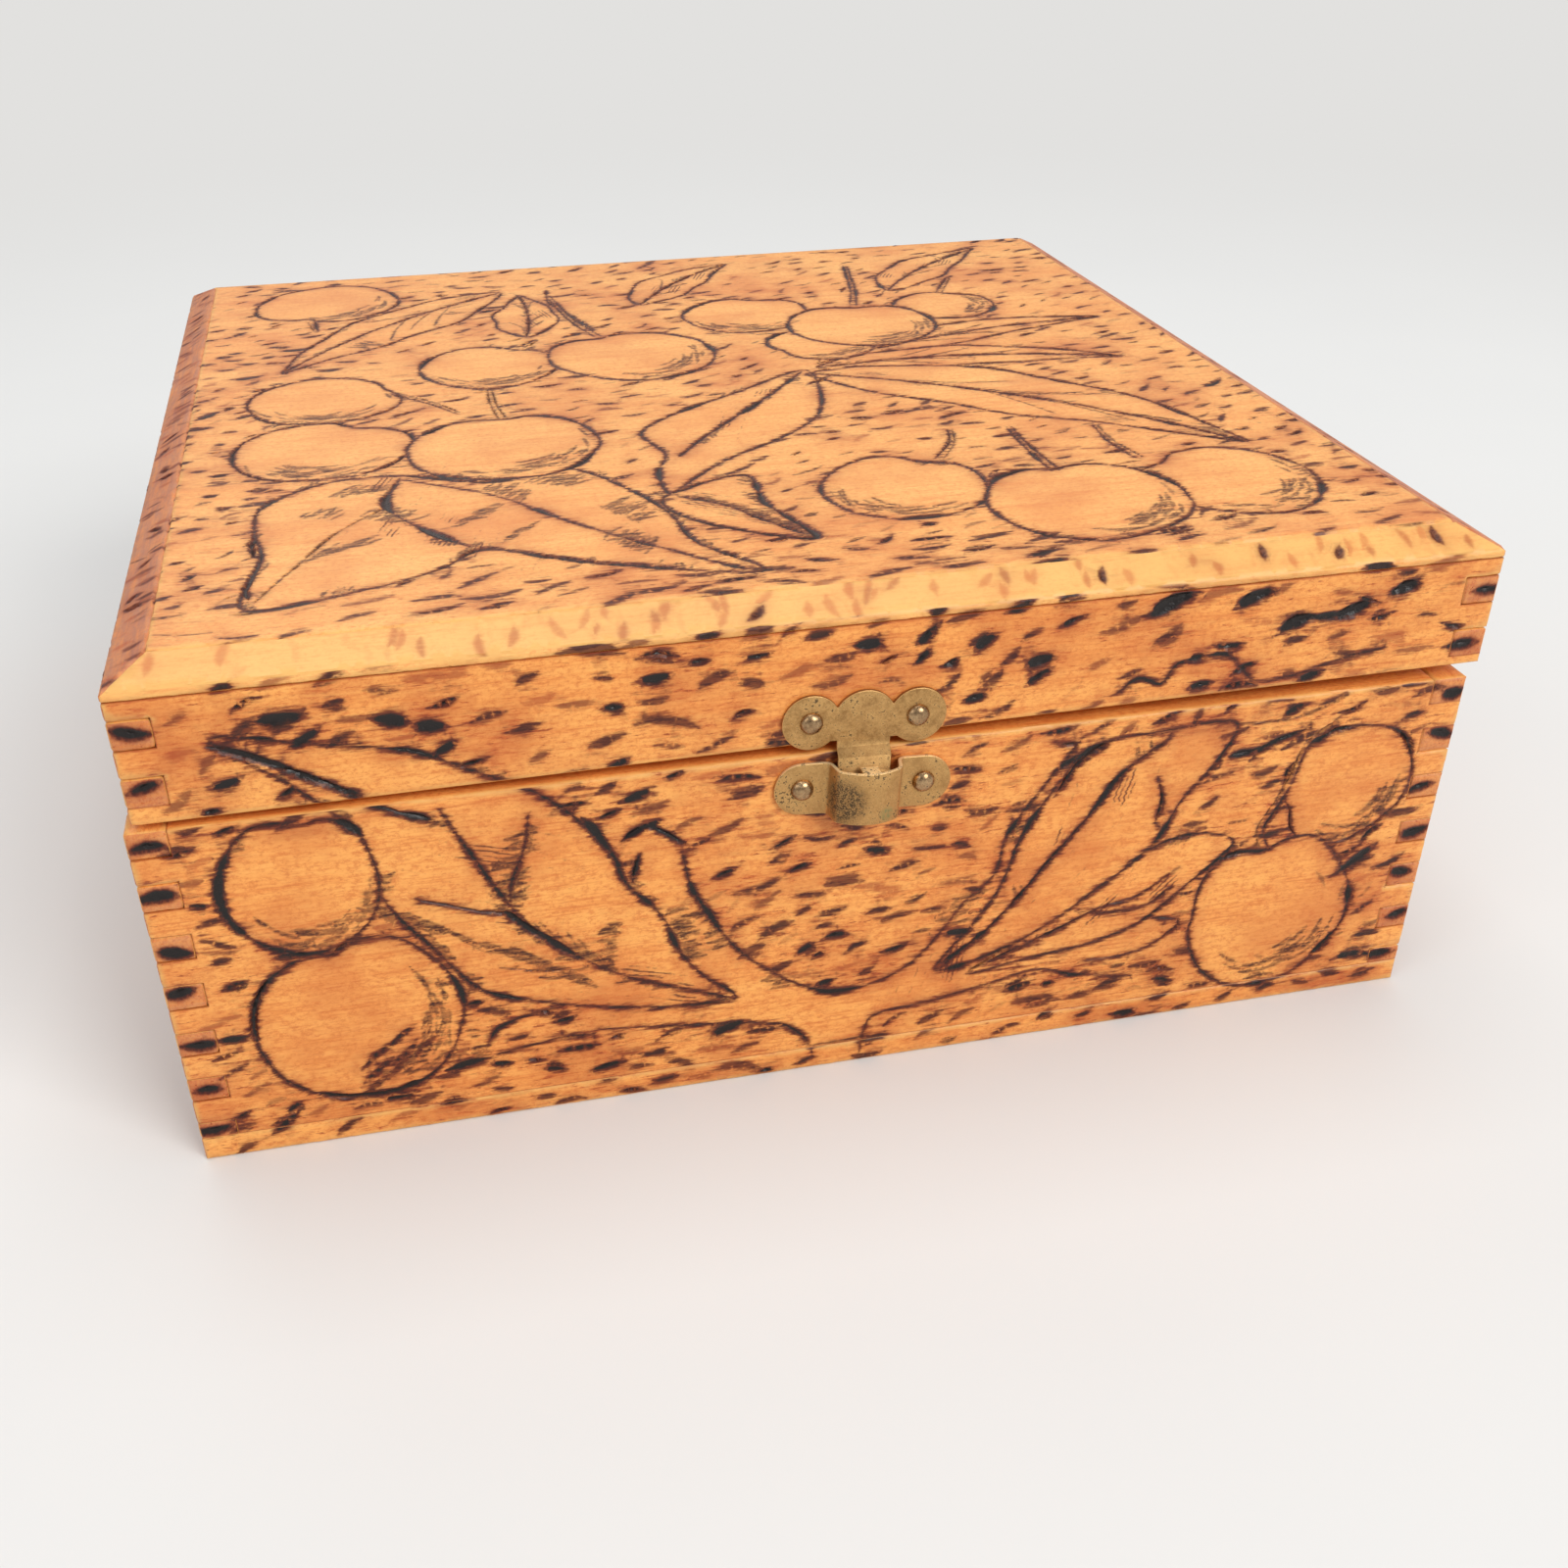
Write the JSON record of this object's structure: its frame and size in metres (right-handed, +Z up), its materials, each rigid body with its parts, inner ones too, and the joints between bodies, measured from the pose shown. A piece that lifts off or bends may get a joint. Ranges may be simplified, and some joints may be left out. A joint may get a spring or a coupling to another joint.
{
  "type": "keepsake box",
  "caption": "Square finger-jointed wooden box for papers and keepsakes, with a bevelled hinged lid, a brass snap catch and burnt fruit and leaf ornament.",
  "frame": {"origin": "middle of the underside of the box", "axes": "+X to the right along the front, +Y to the back, where the hinges are, +Z up"},
  "size_m": [0.2295, 0.2373, 0.094],
  "materials": {
    "wood": "satin varnish, burnt ornament",
    "panel_wood": "satin varnish, burnt ornament",
    "hinge_brass": "dull, aged",
    "catch_brass": "dull, aged, with dark specks",
    "nail_heads": "browned, domed"
  },
  "bodies": {
    "box": {"box_front_board": "wood", "box_back_board": "wood", "box_left_board": "wood", "box_right_board": "wood", "bottom_board": "wood", "left_hinge_box_leaf": "hinge_brass", "right_hinge_box_leaf": "hinge_brass", "left_hinge_pin": "hinge_brass", "right_hinge_pin": "hinge_brass", "left_hinge_box_nails": "hinge_brass", "right_hinge_box_nails": "hinge_brass", "keeper": "catch_brass", "keeper_nails": "nail_heads"},
    "lid": {"lid_front_rail": "wood", "lid_back_rail": "wood", "lid_left_rail": "wood", "lid_right_rail": "wood", "lid_panel": "panel_wood", "left_hinge_lid_leaf": "hinge_brass", "right_hinge_lid_leaf": "hinge_brass", "left_hinge_lid_nails": "hinge_brass", "right_hinge_lid_nails": "hinge_brass", "hasp": "catch_brass", "hasp_nails": "nail_heads"}
  },
  "joints": [
    {"name": "lid_hinge", "type": "hinge", "parent": "box", "child": "lid", "pos_m": [0, 0.116, 0.0676], "axis": [-1, 0, 0], "range_deg": [0, 180]}
  ]
}
